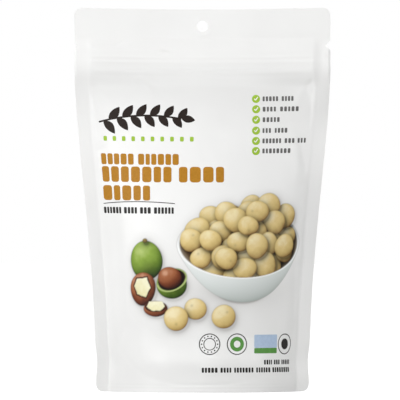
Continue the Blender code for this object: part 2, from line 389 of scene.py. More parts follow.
bumpReach = {"nut": 9.9, "near": 3.5, "height": 0.42, "width": 7.0}
frontCreases += sealPuckers(random.Random(3), 20)
backCreases += sealPuckers(random.Random(8), 22)


def nutBumps(facing):
    # where a nut inside lies against the panel, and how far it pushes the film out
    bumps = []
    for name in kernelNames:
        low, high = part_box(name)
        middle = (Vector(low) + Vector(high)) / 2 / mm
        angle = halfAngle(middle.z)
        radius = film["halfInside"] / angle
        back = middle.y * facing + radius * math.cos(angle)
        clearance = radius - math.hypot(middle.x, back) - bumpReach["nut"]
        if clearance < bumpReach["near"]:
            s = radius * math.atan2(middle.x, back)
            bumps.append((s, middle.z, bumpReach["height"] * min(1.0, 1.2 - clearance / bumpReach["near"])))
    return bumps


def filmRelief(s, t, creases, bumps, seed):
    # how far the film stands out: its swells, creases, nuts, and what the seal bars leave
    inside = 1 - smoothStep((abs(s) - surface["edge"]) / surface["edgeFade"])
    body = inside * smoothStep((surface["top"] - t) / surface["topFade"])
    lift = surface["swell"] * ripple(s, t, surface["swellReach"], seed) * body
    lift += surface["dent"] * ripple(s, t, surface["dentReach"], seed + surface["dentSeed"]) * body
    lift += creaseLift(s, t, creases) * inside
    for bumpS, bumpT, height in bumps:
        if abs(s - bumpS) < 20 and abs(t - bumpT) < 20:
            lift += height * bell(math.hypot(s - bumpS, t - bumpT), bumpReach["width"]) * inside
    ring = math.hypot(s, t - film["holeHeight"]) - film["holeRadius"]
    lift += surface["lip"] * bell(ring - surface["lipPlace"], surface["lipReach"])  # left by the punch
    recess = zipper["recessDepth"] * bell(t - zipper["recessHeight"], zipper["recessReach"])
    recess *= max(0.0, 1 - (s / zipper["recessHalf"]) ** 2) ** 0.5
    lift -= recess * smoothStep((zipper["recessTop"] - t) / zipper["recessFade"])
    for rib in zipper["ribs"]:
        share = zipper["ribAtSeal"] + (1 - zipper["ribAtSeal"]) * inside
        lift += zipper["ribHeight"] * bell(t - rib, zipper["ribWidth"]) * share
    if t < film["gussetDepth"]:
        lift -= surface["sealBar"] * bell(t - sealHeight(s), surface["sealBarReach"])
        for line in surface["sealLines"]:
            lift -= surface["sealLine"] * bell(t - line, surface["sealLineReach"])
    lift -= surface["topSeal"] * bell(t - film["topSealFoot"], surface["topSealReach"])
    return lift


def headerWarp(s, t):
    # both films together: the header and the side fins are never quite in one plane
    header = smoothStep((t - sway["headerFoot"]) / sway["headerFade"])
    warp = sway["header"] * ripple(s, t, sway["headerReach"], 2.0) * header
    low = smoothStep((sway["finLow"] - t) / sway["finLowFade"])
    fin = smoothStep((sway["finTop"] - t) / sway["finFade"])
    fin *= sway["finShare"] + (1 - sway["finShare"]) * low
    aside = max(0.0, abs(s) - film["halfInside"] + 0.5)
    lean = sway["rightLean"] if s > 0 else sway["leftLean"]
    lean += sway["wave"] * ripple(s, t, sway["waveReach"], 9.0)
    return warp + lean * aside * fin


def filmPlace(s, t, facing, creases, bumps, seed):
    # the outer face of a panel, facing -1 for the front and 1 for the back, in millimetres
    seal = film["halfInside"]
    if abs(s) > seal:
        share = (abs(s) - seal) / (film["halfWidth"] - seal)
        s = math.copysign(seal + share * (cutHalfWidth(s, t) - seal), s)
    inside = min(abs(s), seal)
    angle = max(halfAngle(t), 0.0005)
    radius = seal / angle
    turn = inside / radius
    x = radius * math.sin(turn)
    depth = radius * (math.cos(turn) - math.cos(angle)) + panelGap(s, t) + film["thick"]
    relief = filmRelief(s, t, creases, bumps, seed)
    if abs(s) > seal:
        turn = 0.0
    across = x + abs(s) - inside + relief * math.sin(turn)
    depth = max(depth + relief * math.cos(turn), film["sealGap"] + film["thick"])
    sag = film["sag"] * (1 - (s / film["halfWidth"]) ** 2) * smoothStep(t / film["bulgeTop"])
    return (math.copysign(across, s), facing * depth + headerWarp(s, t), t - sag)


def spread(start, end, step):
    count = max(1, round((end - start) / step))
    return [start + (end - start) * i / count for i in range(count)]


# where the film's lattice starts and ends a stretch, and its step there, in millimetres
columnSteps = (
    (0, 8, 0.8), (8, 66, 1.25), (66, film["halfInside"], 0.75), (film["halfInside"], zipper["end"], 1.5),
)
rowSteps = (
    (0, 1.2, 0.3), (1.2, 6, 0.6), (6, 190, 1.45), (190, 201, 0.9), (201, 213.5, 0.42), (213.5, 219.5, 0.5),
    (219.5, 224, 0.6), (224, 235, 0.7), (235, 239, 0.6), (239, film["height"], 0.25),
)


def latticeLines(stretches, *last):
    return [place for stretch in stretches for place in spread(*stretch)] + [*last]


def buildFilmFace(facing, creases, seed):
    # the panel as a lattice of places and outward directions
    right = latticeLines(columnSteps, zipper["end"], film["halfWidth"])
    columns = np.array([-s for s in reversed(right[1:])] + right)
    rows = np.array(latticeLines(rowSteps, film["height"]))
    bumps = nutBumps(facing)
    places = np.array([[filmPlace(s, t, facing, creases, bumps, seed) for t in rows] for s in columns]) * mm
    along = np.gradient(places, columns, axis=0)
    up = np.gradient(places, rows, axis=1)
    outward = np.cross(along, up) * -facing
    outward /= np.linalg.norm(outward, axis=2, keepdims=True)
    return {"columns": columns, "rows": rows, "places": places, "outward": outward, "facing": facing}


def onFilm(face, s, t, lift=0.0):
    # places at (s, t), arrays or numbers, lift millimetres outside the film
    s = np.atleast_1d(s)
    t = np.atleast_1d(t)
    columns = face["columns"]
    rows = face["rows"]
    i = np.clip(np.searchsorted(columns, s, side="right") - 1, 0, len(columns) - 2)
    j = np.clip(np.searchsorted(rows, t, side="right") - 1, 0, len(rows) - 2)
    a = ((s - columns[i]) / (columns[i + 1] - columns[i]))[:, None]
    b = ((t - rows[j]) / (rows[j + 1] - rows[j]))[:, None]
    shares = cellShares(a, b)
    place = sum(face["places"][i + di, j + dj] * share for di, dj, share in shares)
    outward = sum(face["outward"][i + di, j + dj] * share for di, dj, share in shares)
    return place + outward * (lift * mm)


def gridPiece(columns, rows, places):
    # a bmesh sheet whose points are places[i, j], with its own UV map in step with the film
    bm = bmesh.new()
    across = len(columns) - 1
    up = len(rows) - 1
    bmesh.ops.create_grid(bm, x_segments=across, y_segments=up, size=1)
    uv = bm.loops.layers.uv.new("film")
    for vertex in bm.verts:
        i = round((vertex.co.x + 1) / 2 * across)
        j = round((vertex.co.y + 1) / 2 * up)
        vertex.co = places[i, j]
        for loop in vertex.link_loops:
            loop[uv].uv = (i / across, j / up)
    return bm


def makeHolePunch():
    bm = bmesh.new()
    radius = film["holeRadius"] * mm
    bmesh.ops.create_cone(bm, cap_ends=True, segments=48, radius1=radius, radius2=radius, depth=0.02)
    turn = Vector((0, 0, 1)).rotation_difference(Vector((0, 1, 0))).to_matrix()
    bmesh.ops.rotate(bm, verts=bm.verts, matrix=turn)
    bmesh.ops.translate(bm, verts=bm.verts, vec=(0, 0, film["holeHeight"] * mm))
    return addMesh("holePunch", bm)


def buildPanel(name, face, material, replaced):
    bm = gridPiece(face["columns"], face["rows"], face["places"])
    if face["facing"] > 0:
        bmesh.ops.reverse_faces(bm, faces=bm.faces)
    panel = addPiece(name, bm, material)
    punch = makeHolePunch()
    thicken(panel, film["thick"], punch)
    bpy.data.objects.remove(punch)
    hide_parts(replaced)


filmMaterial = makeFilmMaterial("matt-varnished white laminate")
frontFace = buildFilmFace(-1, frontCreases, 1.0)
backFace = buildFilmFace(1, backCreases, 6.0)
buildPanel("frontFilm", frontFace, filmMaterial, "front_panel")
buildPanel("backFilm", backFace, filmMaterial, "back_panel")
print("film panels made")


# the gusset

gusset = {
    "leafLift": -0.17, "flatHalf": 50.0, "flatShare": 0.55, "keelPower": 1.3,
    "leafRows": 9, "baseRows": 28, "slack": 0.5, "slackReach": (0.09, 2.5),
}


def keelHeight(s):
    share = (abs(s) - gusset["flatHalf"]) / (film["halfInside"] - gusset["flatHalf"])
    return film["gussetDepth"] * min(max(share, 0.0), 1.0) ** gusset["keelPower"]


def gussetBase(s, w):
    # the sheet's upper side between its seals, a shallow boat whose middle lies on the floor
    front = onFilm(frontFace, s, sealHeight(s), gusset["leafLift"])[0]
    back = onFilm(backFace, s, sealHeight(s), gusset["leafLift"])[0]
    place = front + (back - front) * (w + 1) / 2
    if abs(s) >= film["halfInside"]:
        place = (front + back) / 2
        return (place[0], place[1], place[2] + film["thick"] * mm)
    keel = (keelHeight(s) + film["thick"]) * mm
    flat = gusset["flatShare"] * (1 - smoothStep(abs(s) / film["halfInside"]))
    lift = max(0.0, abs(w) - flat) / (1 - flat)
    slack = gusset["slack"] * ripple(s, w, gusset["slackReach"], 3.0) * lift * (1 - lift) * 4 * mm
    return (place[0], place[1], max(film["thick"] * mm, keel + (place[2] - keel) * lift**2 + slack))


def buildGusset(material):
    columns = frontFace["columns"][::2]
    steps = [i / gusset["leafRows"] for i in range(gusset["leafRows"] + 1)]
    widths = [2 * i / gusset["baseRows"] - 1 for i in range(1, gusset["baseRows"])]
    places = []
    for s in columns:
        heights = [step * sealHeight(s) for step in steps]
        leafS = np.full(len(heights), s)
        front = onFilm(frontFace, leafS, heights, gusset["leafLift"])
        back = onFilm(backFace, leafS, heights[::-1], gusset["leafLift"])
        places.append([*front, *[gussetBase(s, w) for w in widths], *back])
    bm = gridPiece(columns, range(len(places[0])), np.array(places))
    bmesh.ops.remove_doubles(bm, verts=bm.verts, dist=1e-6)
    piece = addPiece("bottomGusset", bm, material)
    thicken(piece, film["thick"], even=False)  # an even offset would throw spikes where its fold closes
    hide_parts("bottom_gusset")


buildGusset(makeFilmMaterial("matt white gusset laminate"))
print("gusset made")


# plain print: blocks where words would be

inkLift = {"under": 0.03, "first": 0.045, "over": 0.07, "thick": 0.02}


def addStroke(bm, start, end, width, bow=0.0, corner=None):
    # a stroke in film millimetres, its ends round or with the given corner, bowed up by bow in its middle
    corner = width / 2 if corner is None else corner
    begin = Vector(start)
    along = Vector(end) - begin
    length = along.length
    axis = along.normalized()
    aside = Vector((-axis.y, axis.x))
    middle = begin + along / 2
    segments = max(3, round(length / 1.4))
    made = bmesh.ops.create_grid(bm, x_segments=segments, y_segments=8, size=1)["verts"]
    for vertex in made:
        v = math.sin(vertex.co.y * math.pi / 2) * width / 2
        over = max(0.0, abs(v) - width / 2 + corner)
        half = length / 2 - corner + math.sqrt(max(0.0, corner**2 - over**2))
        share = vertex.co.x
        place = middle + axis * (share * half) + aside * v + Vector((0, bow * (1 - share * share)))
        vertex.co = (place.x, place.y, 0)


def addLeaf(bm, base, tip, width, bend):
    # a pointed leaf from its base to its tip, bent aside by bend
    begin = Vector(base)
    along = Vector(tip) - begin
    aside = Vector((-along.y, along.x)).normalized()
    made = bmesh.ops.create_grid(bm, x_segments=10, y_segments=4, size=1)["verts"]
    for vertex in made:
        share = (vertex.co.x + 1) / 2
        swell = math.sin(math.pi * share) ** 0.8 * (1.15 - 0.3 * share)
        across = vertex.co.y * swell * width / 2 + bend * math.sin(math.pi * share)
        place = begin + along * share + aside * across
        vertex.co = (place.x, place.y, 0)
    bmesh.ops.remove_doubles(bm, verts=made, dist=0.01)


def addRing(bm, centre, outer, inner, steps=1):
    # steps is how many bands the ring is cut into, so that it bends with the film
    made = bmesh.ops.create_circle(bm, segments=36, radius=outer)
    edges = {edge for vertex in made["verts"] for edge in vertex.link_edges}
    verts = list(made["verts"])
    radius = outer
    for step in range(1, steps + 1):
        grown = bmesh.ops.extrude_edge_only(bm, edges=list(edges))["geom"]
        rim = [item for item in grown if isinstance(item, bmesh.types.BMVert)]
        lines = [item for item in grown if isinstance(item, bmesh.types.BMEdge)]
        edges = [line for line in lines if all(end in rim for end in line.verts)]
        following = max(outer + (inner - outer) * step / steps, 0.001)
        bmesh.ops.scale(bm, vec=(following / radius, following / radius, 1), verts=rim)
        radius = following
        verts += rim
    if inner == 0:
        bmesh.ops.remove_doubles(bm, verts=rim, dist=0.01)
        verts = [vertex for vertex in verts if vertex.is_valid]
    bmesh.ops.translate(bm, verts=verts, vec=(*centre, 0))


blockCorner = 0.28  # of a block's width
wordSpace = 3.2  # gaps between words, to one between blocks


def addWords(bm, start, end, level, height, words, share, rng):
    # rounded blocks in place of letters: words lists how many each word has, share is the gap to a block
    widths = [[rng.uniform(0.8, 1.2) for _ in range(count)] for count in words]
    space = wordSpace * share
    total = sum(sum(word) + share * (len(word) - 1) for word in widths) + space * (len(words) - 1)
    unit = (end - start) / total
    s = start
    for word in widths:
        for width in word:
            width *= unit
            middle = s + width / 2
            low = (middle, level - height / 2)
            high = (middle, level + height / 2)
            addStroke(bm, low, high, width, corner=width * blockCorner)
            s += width + share * unit
        s += (space - share) * unit


def addInk(name, bm, ink, lift="first"):
    bmesh.ops.recalc_face_normals(bm, faces=bm.faces)
    if bm.faces[:] and bm.faces[0].normal.z < 0:
        bmesh.ops.reverse_faces(bm, faces=bm.faces)
    flat = np.array([vertex.co[:] for vertex in bm.verts])
    for vertex, place in zip(bm.verts, onFilm(frontFace, flat[:, 0], flat[:, 1], inkLift[lift])):
        vertex.co = place
    thicken(addPiece(name, bm, inkMaterials[ink]), inkLift["thick"])


inks = {
    "umber": ("#2E2622", "#29211D"), "gold": ("#B98228", "#AD7720"), "leaf": ("#A3C644", "#98BB3A"),
    "charcoal": ("#343231", "#2D2B2A"), "grey": ("#6C6B6A", "#636261"), "white": ("#F4F4F2", "#EFEFED"),
    "sky": ("#B9CCE4", "#AFC3DC"), "fern": ("#5E9A4A", "#568F43"),
}
inkMaterials = {name: makeInkMaterial(f"{name} flexographic ink", *codes) for name, codes in inks.items()}

sprig = {
    "start": (-66.0, 169.0), "end": (-13.0, 171.5), "bow": 3.0, "stem": 1.1, "pairs": 6,
    "leaf": 11.0, "leafWidth": 5.4, "spread": math.radians(48),
}


def printSprig():
    # a plain leafy sprig, and a row of small squares under it
    bm = bmesh.new()
    start = Vector(sprig["start"])
    along = Vector(sprig["end"]) - start
    addStroke(bm, start, sprig["end"], sprig["stem"], sprig["bow"])
    for i in range(sprig["pairs"]):
        for side in (1, -1):
            share = (i + (0.75 if side > 0 else 0.35)) / sprig["pairs"]
            base = start + along * share + Vector((0, sprig["bow"] * (1 - (2 * share - 1) ** 2)))
            length = sprig["leaf"] * (1.0 - 0.22 * share)
            tilt = side * sprig["spread"]
            tip = base + Vector((math.cos(tilt), math.sin(tilt))) * length
            addLeaf(bm, base, tip, sprig["leafWidth"] * (1 - 0.15 * share), -side * 0.6)
    addLeaf(bm, sprig["end"], Vector(sprig["end"]) + Vector((8.5, -1.0)), sprig["leafWidth"] * 0.85, 0.3)
    addInk("printedSprig", bm, "umber")
    bm = bmesh.new()
    for i in range(10):
        middle = -62.4 + i * 6.2
        addStroke(bm, (middle, 157.2), (middle, 160.2), 2.3, corner=0.6)
    addInk("printedSquares", bm, "leaf")


def printHeading():
    rng = random.Random(5)
    bm = bmesh.new()
    addWords(bm, -66.2, -14.8, 145.9, 6.9, (5, 6), 0.28, rng)
    addWords(bm, -66.2, 13.5, 136.4, 9.8, (7, 4), 0.25, rng)
    addWords(bm, -66.4, -33.2, 124.7, 9.4, (5,), 0.25, rng)
    addInk("printedHeading", bm, "gold")
    bm = bmesh.new()
    addStroke(bm, (-67, 117.9), (-17.2, 118.2), 0.5, 1.2)
    addWords(bm, -67, -18.0, 113.8, 4.0, (6, 4, 3, 6), 0.42, rng)
    addInk("printedTagline", bm, "charcoal")


ticks = {
    "s": 33.7, "radius": 2.55, "wordStart": 37.9,
    "lines": (
        (183.8, 57.5, (5, 4)), (177.3, 61.0, (4, 5)), (170.7, 48.8, (5,)),
        (163.9, 54.0, (3, 4)), (157.4, 67.0, (6, 3, 3)), (151.1, 56.6, (8,)),
    ),
}


def printTicks():
    rng = random.Random(11)
    discs = bmesh.new()
    marks = bmesh.new()
    words = bmesh.new()
    for t, end, counts in ticks["lines"]:
        addRing(discs, (ticks["s"], t), ticks["radius"], 0, 3)
        addStroke(marks, (ticks["s"] - 1.1, t + 0.2), (ticks["s"] - 0.3, t - 0.9), 0.6)
        addStroke(marks, (ticks["s"] - 0.3, t - 0.9), (ticks["s"] + 1.2, t + 1.3), 0.6)
        addWords(words, ticks["wordStart"], end, t, 3.0, counts, 0.55, rng)
    addInk("printedTickDiscs", discs, "leaf")
    addInk("printedTicks", marks, "white", "over")
    addInk("printedList", words, "grey")


def printSeals():
    # plain round and square marks, and two lines of small blocks
    rng = random.Random(2)
    dark = bmesh.new()
    addRing(dark, (4.5, 30.2), 6.7, 6.1)
    addRing(dark, (4.5, 30.2), 3.9, 3.4)
    for i in range(14):
        turn = 2 * math.pi * i / 14
        addRing(dark, (4.5 + 5.0 * math.cos(turn), 30.2 + 5.0 * math.sin(turn)), 0.45, 0)
    addRing(dark, (22.0, 30.2), 6.7, 6.1)
    addRing(dark, (58.9, 30.0), 6.5, 5.9)
    addRing(dark, (58.9, 30.0), 3.4, 0, 3)
    addWords(dark, 41.0, 64.6, 18.8, 2.9, (4, 3, 5), 0.5, rng)
    addWords(dark, -0.4, 64.0, 14.0, 3.1, (5, 4, 7, 6, 8), 0.45, rng)
    addInk("printedSmallType", dark, "charcoal")
    green = bmesh.new()
    addRing(green, (22.0, 30.2), 4.6, 2.2, 2)
    addStroke(green, (33.8, 26.0), (51.6, 26.0), 3.4, corner=0.5)
    addInk("printedGreenMarks", green, "fern")
    blue = bmesh.new()
    addStroke(blue, (33.8, 31.9), (51.6, 31.9), 8.2, corner=0.5)
    addInk("printedBlueMark", blue, "sky")


printSprig()
printHeading()
printTicks()
printSeals()
print("plain print made")


# the printed picture: a bowl of shelled nuts, with a green fruit and opened shells beside it

picture = {
    "low": (-53.0, 31.0), "high": (72.0, 129.5), "step": 0.45, "tilt": math.radians(30.8),
    "light": Vector((-0.35, 0.60, 0.72)).normalized(), "shadow": "#6F675E",
    "contrast": 1.1,
}


def mottle(x, y, seed):
    # soft random tones between -1 and 1, in spots about one unit wide
    total = np.zeros_like(x)
    for octave, weight in ((1.0, 0.6), (2.1, 0.3), (4.3, 0.2)):
        u = x * octave + seed * 17.3
        v = y * octave - seed * 9.1
        i = np.floor(u)
        j = np.floor(v)
        a = (u - i) ** 2 * (3 - 2 * (u - i))
        b = (v - j) ** 2 * (3 - 2 * (v - j))
        for di, dj, share in cellShares(a, b):
            spot = np.sin((i + di) * 127.1 + (j + dj) * 311.7 + seed) * 43758.5453 % 1
            total += weight * share * (spot * 2 - 1)
    return total


class Canvas:
    # the picture's tones and its ink cover at every sample, painted from the back to the front
    def __init__(self, s, t):
        self.s = s
        self.t = t
        self.colour = np.ones((len(s), 3)) * hexColour(picture["shadow"])[:3]
        self.cover = np.zeros(len(s))

    def part(self, centre, reach):
        # the samples close to centre, to be painted alone and then put back
        chosen = np.flatnonzero(np.maximum(abs(self.s - centre[0]), abs(self.t - centre[1])) < reach)
        part = Canvas(self.s[chosen], self.t[chosen])
        part.chosen = chosen
        part.colour = self.colour[chosen]
        part.cover = self.cover[chosen]
        return part

    def putBack(self, part):
        self.colour[part.chosen] = part.colour
        self.cover[part.chosen] = part.cover

    def shade(self, mask, amount):
        # darkens what is painted, and lays a soft shadow on bare film
        strength = amount * mask
        self.colour *= (1 - strength * self.cover)[:, None]
        self.cover += (1 - self.cover) * strength * 0.5

    def paint(self, distance, value, codes, width=0.45):
        # lays tones inside an outline, from the distance inside it in millimetres
        self.lay(softEdge(distance, width), toneOf(value, codes))

    def lay(self, mask, colour):
        strength = np.clip(mask, 0, 1)[:, None]
        self.colour = self.colour * (1 - strength) + colour * strength
        self.cover = self.cover * (1 - strength[:, 0]) + strength[:, 0]


def toneOf(value, codes):
    # a colour between the codes, from the first at 0 to the last at 1
    tones = np.array([hexColour(code)[:3] for code in codes])
    value = np.clip(value, 0, 1) * (len(codes) - 1)
    low = np.minimum(value.astype(int), len(codes) - 2)
    share = (value - low)[:, None]
    return tones[low] * (1 - share) + tones[low + 1] * share


def softEdge(distance, width=0.45):
    # 1 well inside an outline, 0 outside it, from the distance inside in millimetres
    return np.clip(distance / width + 0.5, 0, 1)


def insideCorners(canvas, corners):
    # how far each sample lies inside a convex outline, its corners listed anticlockwise
    reach = np.full(len(canvas.s), 99.0)
    for (s0, t0), (s1, t1) in zip(corners, corners[1:] + corners[:1]):
        length = math.hypot(s1 - s0, t1 - t0)
        reach = np.minimum(reach, ((s1 - s0) * (canvas.t - t0) - (t1 - t0) * (canvas.s - s0)) / length)
    return reach


def paintBall(whole, centre, radii, codes, seed=0.0, lumps=0.02, spots=0.05, base=0.38, gloss=0.0, clip=None):
    # a rounded thing lit from the upper left, and the close shadow that it casts
    canvas = whole.part(centre, max(radii) + 7)
    clip = 1.0 if clip is None else clip[canvas.chosen]
    ds = canvas.s - centre[0]
    dt = canvas.t - centre[1]
    size = (radii[0] + radii[1]) / 2
    turn = np.arctan2(dt, ds)
    lump = 1 + lumps * np.sin(2 * turn + seed * 1.9) + 0.7 * lumps * np.sin(3 * turn + seed * 4.1)
    p = ds / (radii[0] * lump)
    q = dt / (radii[1] * lump)
    far = np.hypot(p, q)
    around = np.maximum(np.hypot((ds - 0.9) / radii[0], (dt + 1.2) / radii[1]) - 1, 0) * size
    canvas.shade(np.exp(-around / 1.4) * clip, 0.68)
    light = picture["light"]
    bump = 0.09 * mottle(ds / 3.2, dt / 3.2, seed + 0.5)
    height = np.sqrt(np.maximum(0.0, 1 - far * far))
    lit = (p + bump) * light.x + (q - bump) * light.y + height * light.z
    value = base + 0.54 * lit - 0.20 * (1 - height) ** 3 + spots * mottle(ds / 2.6, dt / 2.6, seed)
    shine = gloss * np.exp(-((p + 0.36) ** 2 + (q - 0.40) ** 2) / 0.035)
    canvas.lay(softEdge((1 - far) * size) * clip, toneOf(value + shine, codes))
    whole.putBack(canvas)


bowl = {
    "s": 26.0, "t": 92.5, "rim": 42.0, "depth": 32.8, "foot": 11.5, "belly": 16.8, "wall": 1.7,
    "swell": 0.52, "rings": 50, "dark": ("#3E2712", "#6A4E2C", "#B9B3A4"),
}
glazeTones = ("#727C78", "#A6AFAB", "#C6CCC9", "#DBE0DE", "#ECEFEE", "#F8F9F9")
heap = {
    "count": 61, "depth": 35.4, "radii": (6.7, 8.1), "slope": 0.62, "inside": 35.0, "step": 2.0,
    "peak": 4.0, "seed": 12,
}
nutTones = ("#6E4822", "#A98D58", "#CFB679", "#E2CC92", "#F2E6C0")


def bowlRadius(level):
    # the bowl's half-width, from its foot at 0 to its rim at 1
    return bowl["foot"] + (bowl["rim"] - bowl["foot"]) * level ** bowl["swell"]


def heapedNuts():
    # nuts dropped one by one into the bowl, each where the heap is lowest
    rng = random.Random(heap["seed"])
    side = np.arange(-heap["inside"], heap["inside"] + 0.1, heap["step"])
    x, y = (axis.ravel() for axis in np.meshgrid(side, side))
    far = np.hypot(x, y)
    x, y, far = (axis[far < heap["inside"]] for axis in (x, y, far))
    placed = []
    for _ in range(heap["count"]):
        radius = rng.uniform(*heap["radii"])
        share = np.minimum(far / (bowl["rim"] - radius), 1.0)
        z = heap["depth"] * (share ** (1 / bowl["swell"]) - 1) + radius * 0.9
        for px, py, pz, pr in placed:
            reach = (radius + pr) * 0.93
            level = np.hypot(x - px, y - py)
            z = np.where(level < reach, np.maximum(z, pz + np.sqrt(np.maximum(0.0, reach**2 - level**2))), z)
        best = int(np.argmin(z + heap["slope"] * np.hypot(x - heap["peak"], y)))
        placed.append((x[best], y[best], z[best], radius))
    return placed


def paintBowl(canvas):
    x = canvas.s - bowl["s"]
    v = canvas.t - bowl["t"]
    sinTilt = math.sin(picture["tilt"])
    cosTilt = math.cos(picture["tilt"])
    # its shadow on the table, longer to the left
    tableY = (v + bowl["depth"] * cosTilt) / sinTilt
    far = np.hypot((x + 5) / 1.25, tableY + 1)
    canvas.shade(np.exp(-np.maximum(far - bowl["foot"], 0) / 5), 0.55)
    contact = np.hypot(x + 0.6, tableY) - bowl["belly"]
    canvas.shade(np.exp(-np.maximum(contact, 0) / 0.9), 0.9)
    canvas.shade(np.exp(-np.maximum(far - bowl["foot"] - 6, 0) / 16), 0.22)
    # the wall, ring upon ring from the foot to the rim, each hiding the far side of those below
    for level in np.linspace(0, 1, bowl["rings"]):
        radius = bowlRadius(level)
        centre = bowl["depth"] * (level - 1) * cosTilt
        mask = softEdge((1 - np.hypot(x / radius, (v - centre) / (radius * sinTilt))) * radius * 0.6)
        across = np.clip(x / radius, -1, 1)
        canvas.lay(mask, toneOf(0.14 + 0.54 * level**0.7 - 0.10 * across, glazeTones))
    mouth = np.hypot(x, v / sinTilt)
    canvas.paint(bowl["rim"] - mouth, 0.99 - 0.1 * x / bowl["rim"], glazeTones)
    inner = bowl["rim"] - bowl["wall"]
    canvas.paint(inner - mouth, 0.1 + (mouth / inner) ** 6 * 0.7, bowl["dark"], 1.0)
    nuts = sorted(heapedNuts(), key=lambda nut: nut[2] * sinTilt - nut[1] * cosTilt)
    # the rim's near side hides the nuts behind it
    front = np.clip(softEdge(inner - mouth) + softEdge(v - 2, 9.0), 0, 1)
    for number, (px, py, pz, radius) in enumerate(nuts):
        place = (bowl["s"] + px, bowl["t"] + pz * cosTilt + py * sinTilt)
        squash = 0.95 + 0.07 * math.sin(number * 2.3)
        paintBall(canvas, place, (radius, radius * squash), nutTones, number * 1.3, 0.035, 0.09, clip=front)
        if number % 3 == 0:
            paintDimple(canvas, place, radius, number, front)


def paintDimple(canvas, centre, radius, number, clip=1.0):
    # the small dark scar where a nut sat in its shell
    turn = number * 2.4
    s = centre[0] + math.cos(turn) * radius * 0.45
    t = centre[1] + math.sin(turn) * radius * 0.45
    canvas.shade(np.exp(-((canvas.s - s) ** 2 + (canvas.t - t) ** 2) / 0.7) * clip, 0.22)


fruitTones = ("#1F2F0A", "#46601B", "#6F8A2E", "#93AE4A", "#BECF82")
huskTones = ("#202F0B", "#48621D", "#6E8A30", "#A3B965", "#CBD59C")
shellTones = ("#220F08", "#4F2415", "#7F4529", "#A86C49", "#D0A184")
fleshTones = ("#A8955A", "#D9CE96", "#EEE9BE", "#F8F5D8")
harvest = {
    "window": [(-43.3, 61.2), (-37.0, 59.6), (-33.6, 65.2), (-36.0, 71.6), (-43.0, 71.0), (-45.0, 66.5)],
    "kernel": [(-36.6, 53.4), (-33.0, 51.0), (-27.0, 51.0), (-23.9, 53.6), (-25.4, 57.0), (-34.4, 56.6)],
    "loose": (((-4.3, 52.2), 7.0), ((-16.6, 46.2), 7.9), ((13.4, 47.4), 7.7)),
}


def paintHarvest(canvas):
    s = canvas.s
    t = canvas.t
    flat = np.zeros(len(s))
    paintBall(canvas, (-36.2, 82.4), (11.2, 12.3), fruitTones, 2.0, 0.012, 0.06, 0.33, 0.10)
    canvas.shade(np.exp(-((s + 34.0) ** 2 / 26 + (t - 74.5) ** 2 / 30)), 0.45)
    paintBall(canvas, (-36.9, 94.9), (1.7, 1.4), ("#3A2A12", "#6F5A35", "#98854A"), 1.0)
    # an opened shell, its pale nut showing
    paintBall(canvas, (-39.0, 64.6), (9.3, 10.3), shellTones, 3.0, 0.03, 0.10, 0.36, 0.08)
    window = insideCorners(canvas, harvest["window"])
    window += 0.9 * mottle(s / 3.0, t / 3.0, 1.0) * softEdge(window, 5.0)
    canvas.paint(window + 0.9, flat + 0.18, shellTones)
    value = 0.80 + 0.02 * (s + 39.0) + 0.03 * (t - 66) + 0.14 * mottle(s / 1.6, t / 1.6, 3.0)
    canvas.paint(window, value, fleshTones)
    # half a green husk with a brown nut in it
    lean = 0.20 * (s + 19.6)
    paintBall(canvas, (-19.4, 67.4), (9.8, 9.0), huskTones, 4.0, 0.01, 0.07, 0.30)
    mouth = 1 - np.hypot((s + 19.4) / 9.9, (t - 70.2 - lean) / 7.2)
    canvas.paint(mouth * 8, 0.80 + 0.04 * (s + 19.4) / 9, huskTones)
    canvas.paint((mouth - 0.10) * 8, flat + 0.06, shellTones)
    paintBall(canvas, (-20.6, 71.6), (7.8, 6.9), shellTones, 5.0, 0.01, 0.05, 0.30, 0.30)
    near = softEdge(mouth * 8) * softEdge((0.12 - mouth) * 8) * softEdge(69.4 + lean - t, 2.0)
    canvas.lay(near, toneOf(flat + 0.86, huskTones))
    # a small half shell, its nut broken
    paintBall(canvas, (-30.2, 52.2), (8.5, 4.9), shellTones, 6.0, 0.02, 0.06, 0.40)
    hollow = 1 - np.hypot((s + 30.2) / 7.6, (t - 53.6) / 3.5)
    canvas.paint(hollow * 5, flat + 0.20, shellTones)
    kernel = insideCorners(canvas, harvest["kernel"])
    kernel += 0.8 * mottle(s / 2.5, t / 2.5, 5.0) * softEdge(kernel, 5.0)
    value = 0.78 + 0.05 * (t - 53) + 0.12 * mottle(s / 1.5, t / 1.3, 6.0)
    canvas.paint(kernel, value, fleshTones)
    for number, (place, radius) in enumerate(harvest["loose"]):
        under = np.hypot(s - place[0] + 1, (t - place[1] + 3.5) * 1.3) - radius
        canvas.shade(np.exp(-np.maximum(under, 0) / 2.5), 0.2)
        paintBall(canvas, place, (radius, radius * 0.97), nutTones, number + 8.0, 0.012, 0.06, 0.44)
        paintDimple(canvas, place, radius, number + 1)


def paintPicture(s, t):
    # two samples each way around every point, averaged
    quarter = picture["step"] / 4
    colour = np.zeros((len(s), 3))
    cover = np.zeros(len(s))
    for ds in (-quarter, quarter):
        for dt in (-quarter, quarter):
            canvas = Canvas(s + ds, t + dt)
            paintBowl(canvas)
            paintHarvest(canvas)
            colour += canvas.colour * canvas.cover[:, None]
            cover += canvas.cover
    colour /= np.maximum(cover, 1e-6)[:, None]
    low = picture["low"]
    high = picture["high"]
    edge = np.minimum.reduce([s - low[0], high[0] - s, t - low[1], high[1] - t])
    return colour, cover / 4 * np.clip(edge / 4, 0, 1)


